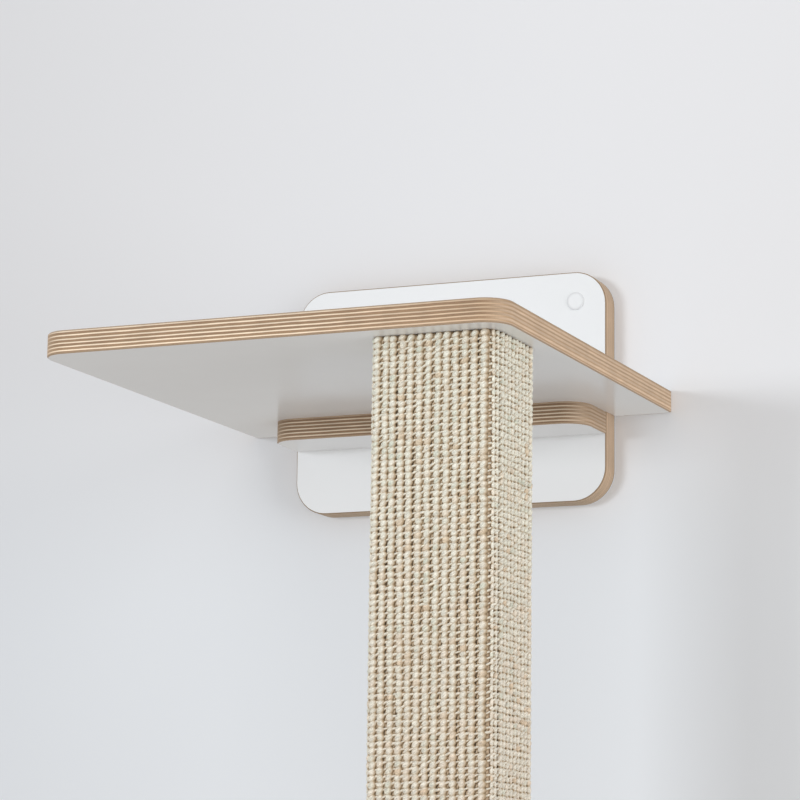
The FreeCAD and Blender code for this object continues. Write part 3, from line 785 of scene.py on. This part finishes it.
def backing_cloth(mat):
    """The thin cloth that carries the ribs, wrapped round the boards and butted at the back."""
    clear_selection()
    size = (2 * (mat.half_x + BACKING), 2 * (mat.half_y + BACKING), mat.height)
    bpy.ops.mesh.primitive_cube_add(size=1, location=mat.centre, scale=size)
    cloth = bpy.context.object
    cloth.name = "sisal_backing"
    bpy.ops.object.transform_apply(location=True, rotation=False, scale=True)
    bpy.ops.object.mode_set(mode="EDIT")
    pick(cloth, "faces", lambda face: abs(face.normal.z) > 0.9)
    bpy.ops.mesh.delete(type="FACE")
    half_height = mat.height / 2
    pick(cloth, "edges", lambda edge: abs(edge.verts[0].co.z - edge.verts[1].co.z) > half_height)
    bpy.ops.mesh.bevel(offset=BACKING, segments=3, affect="EDGES")
    for side in (-1, 1):
        bpy.ops.mesh.select_all(action="SELECT")
        cut = (mat.centre.x + side * SEAM / 2, mat.centre.y, mat.centre.z)
        bpy.ops.mesh.bisect(plane_co=cut, plane_no=(1, 0, 0))

    def in_seam(face):
        spot = face.calc_center_median() - mat.centre
        return abs(spot.x) < SEAM / 2 and spot.y > 0

    pick(cloth, "faces", in_seam)
    bpy.ops.mesh.delete(type="FACE")
    bpy.ops.object.mode_set(mode="OBJECT")
    wall = cloth.modifiers.new("thickness", "SOLIDIFY")
    wall.thickness = BACKING - SLACK
    wall.offset = -1
    bpy.ops.object.modifier_apply(modifier=wall.name)
    return cloth


def joined(pieces, name):
    clear_selection()
    for piece in pieces:
        piece.select_set(True)
    bpy.context.view_layer.objects.active = pieces[0]
    bpy.ops.object.join()
    pieces[0].name = name
    return pieces[0]


def weave_mat():
    """The woven sisal round the post: backing, ribs, warps and wefts, which stand for the plain mat."""
    mat = Mat()
    draw = np.random.default_rng(SEED)
    ribs = mat.ribs()
    rib = rib_model(RIB_SIDES, RIB_CUTS)
    warp = rib_model(WARP_SIDES, WARP_CUTS)
    weft = weft_model()
    groups = {}

    def add(kind, face, piece):
        groups.setdefault(f"sisal_{kind}_{face}", []).append(piece)

    for face, *place in ribs:
        add("ribs", face, rib_at(rib, mat, face, *place, draw))
    for (face, first, outward, _), (_, second, next_outward, _) in zip(ribs, ribs[1:]):
        gap = (mat, first, second, (outward + next_outward).normalized(), draw)
        add("warps", face, warp_between(warp, *gap, WARP_PAINTED_SHADE[face]))
        add("wefts", face, weft_between(weft, *gap))
    for model in (rib, warp, weft):
        bpy.data.objects.remove(model)
    sisal = sisal_finish("spun_sisal")
    pieces = [joined(group, name) for name, group in groups.items()]
    cloth = backing_cloth(mat)
    for piece in pieces:
        piece.data.materials.append(sisal)
    cloth.data.materials.append(backing_finish("jute_backing"))
    for piece in pieces + [cloth]:
        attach(piece, BODY)
    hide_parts("sisal_mat")


# Studio


WALL_SIZE = (12, 12)
WALL_PLACE = (0, 0.5 * MM, 2.0)
# The wall goes from a cooler painted light low down to the colour above it.
LOWER_WALL_PAINTED_LIGHT = seen(247, 250, 254)
UPPER_WALL_PAINTED_LIGHT = seen(243, 243, 245)
FLOOR_SIZE = (10, 5.2)
FLOOR_GAP = 0.2 * MM
FLOOR = seen(232, 230, 228)
# Each lamp: its place, its size, its watts, its colour, and whether glossy pieces mirror it.
LAMPS = {
    "window_left": ((-1.27, -3.35, 0.05), (0.9, 0.45), 29, (0.95, 1.0, 1.045), True),
    "room_right": ((5.8, -2.0, -0.4), (4.0, 4.0), 128, (1.0, 1.0, 1.0), True),
    "room_front": ((1.5, -3.8, 0.3), (3.0, 3.0), 9, (1.0, 1.0, 1.0), True),
    "floor_bounce": ((0.2, -1.2, -2.4), (3.0, 3.0), 4.8, (1.0, 0.77, 0.57), False),
    "ceiling_bounce": ((0.0, -1.8, 2.5), (3.0, 3.0), 18, (1.0, 0.97, 0.94), False),
}
LAMP_AIM = (0.0, -0.2, -0.2)
AIR_STRENGTH = 0.45
ROOM = seen(209, 207, 204)


def backdrop(name, size, place, turn, low, high):
    """A pale surface that the camera sees from its front, and that sends no light back to the object.

    It has painted light on it: it is painted a little darker to the left as shade, and with its height it
    goes from a cooler painted light low down to the colour above.
    """
    clear_selection()
    bpy.ops.mesh.primitive_plane_add(size=1, location=place, rotation=turn)
    plane = bpy.context.object
    plane.name = name
    plane.scale = (*size, 1)
    bpy.ops.object.transform_apply(location=True, rotation=True, scale=True)
    finish = Finish(name + "_paint")
    cloud = finish.noise((0.6, 0.6, 0.6), 2.0)
    # Painted shade: darker to the left.
    painted_light_falloff = finish.along("X").between(-0.9, 0.2)
    level = (0.985 + 0.03 * cloud) * (0.8 + 0.2 * painted_light_falloff)
    colour = finish.mix(finish.along("Z").between(-0.25, 0.05), low, high)
    finish.surface(finish.shaded(colour, level), 0.9, None, Specular_IOR_Level=0.1)
    behind = finish.node("ShaderNodeNewGeometry", output="Backfacing")
    clear = finish.node("ShaderNodeBsdfTransparent")
    paint_side = Value(finish, finish.shader.outputs[0])
    shown = finish.node("ShaderNodeMixShader", {}, {0: behind, 1: paint_side, 2: clear})
    finish.plug(finish.tree.nodes["Material Output"].inputs["Surface"], shown)
    plane.data.materials.append(finish.material)
    plane.visible_diffuse = False
    plane.visible_glossy = False
    plane.visible_transmission = False
    plane.visible_shadow = False


def lamp(name, place, size, watts, colour, mirrored):
    light = bpy.data.lights.new(name, "AREA")
    light.energy = watts
    light.color = colour
    light.shape = "RECTANGLE"
    light.size, light.size_y = size
    holder = bpy.data.objects.new(name, light)
    bpy.context.collection.objects.link(holder)
    holder.location = place
    holder.rotation_euler = (Vector(LAMP_AIM) - Vector(place)).to_track_quat("-Z", "Y").to_euler()
    holder.visible_camera = False
    holder.visible_glossy = mirrored


def studio():
    """The wall and floor behind the piece, the lamps, and the air that fills the shadows."""
    backdrop("room_wall", WALL_SIZE, WALL_PLACE, (math.pi / 2, 0, 0), LOWER_WALL_PAINTED_LIGHT, UPPER_WALL_PAINTED_LIGHT)
    floor_place = (0, 0, cad_box[0][2] - FLOOR_GAP)
    backdrop("room_floor", FLOOR_SIZE, floor_place, (0, 0, 0), FLOOR, FLOOR)
    for name, setting in LAMPS.items():
        lamp(name, *setting)
    world = bpy.data.worlds.new("studio_air")
    bpy.context.scene.world = world
    world.use_nodes = True
    tree = world.node_tree
    air = tree.nodes["Background"]
    air.inputs["Color"].default_value = (1.0, 1.0, 1.0, 1.0)
    air.inputs["Strength"].default_value = AIR_STRENGTH
    room = tree.nodes.new("ShaderNodeBackground")
    room.inputs["Color"].default_value = ROOM
    path = tree.nodes.new("ShaderNodeLightPath")
    shown = air
    for ray in ("Camera", "Glossy", "Transmission"):
        choice = tree.nodes.new("ShaderNodeMixShader")
        tree.links.new(path.outputs[f"Is {ray} Ray"], choice.inputs[0])
        tree.links.new(shown.outputs[0], choice.inputs[1])
        tree.links.new(room.outputs[0], choice.inputs[2])
        shown = choice
    tree.links.new(shown.outputs[0], tree.nodes["World Output"].inputs["Surface"])
    bpy.context.scene.view_settings.view_transform = "Standard"


def photo_camera():
    """The camera where the photograph was taken, below the platform and to its right."""
    place = (0.88754, -2.19640, -0.51078)
    yaw, pitch, roll = 0.4033, 0.1848, 0.0125
    focal_length, sensor_width = 138.14, 36
    forward = Vector(
        (-math.sin(yaw) * math.cos(pitch), math.cos(yaw) * math.cos(pitch), math.sin(pitch))
    )
    level = Vector((math.cos(yaw), math.sin(yaw), 0))
    upright = level.cross(forward)
    right = level * math.cos(roll) + upright * math.sin(roll)
    top = upright * math.cos(roll) - level * math.sin(roll)
    lens = bpy.data.cameras.new("photo_camera")
    lens.sensor_width = sensor_width
    lens.lens = focal_length
    lens.clip_end = 100
    camera = bpy.data.objects.new("photo_camera", lens)
    bpy.context.collection.objects.link(camera)
    turn = Matrix((right, top, -forward)).transposed().to_4x4()
    camera.matrix_world = Matrix.Translation(place) @ turn
    bpy.context.scene.camera = camera


photo_camera()
dress_panels()
dress_inner_pieces()
weave_mat()
studio()
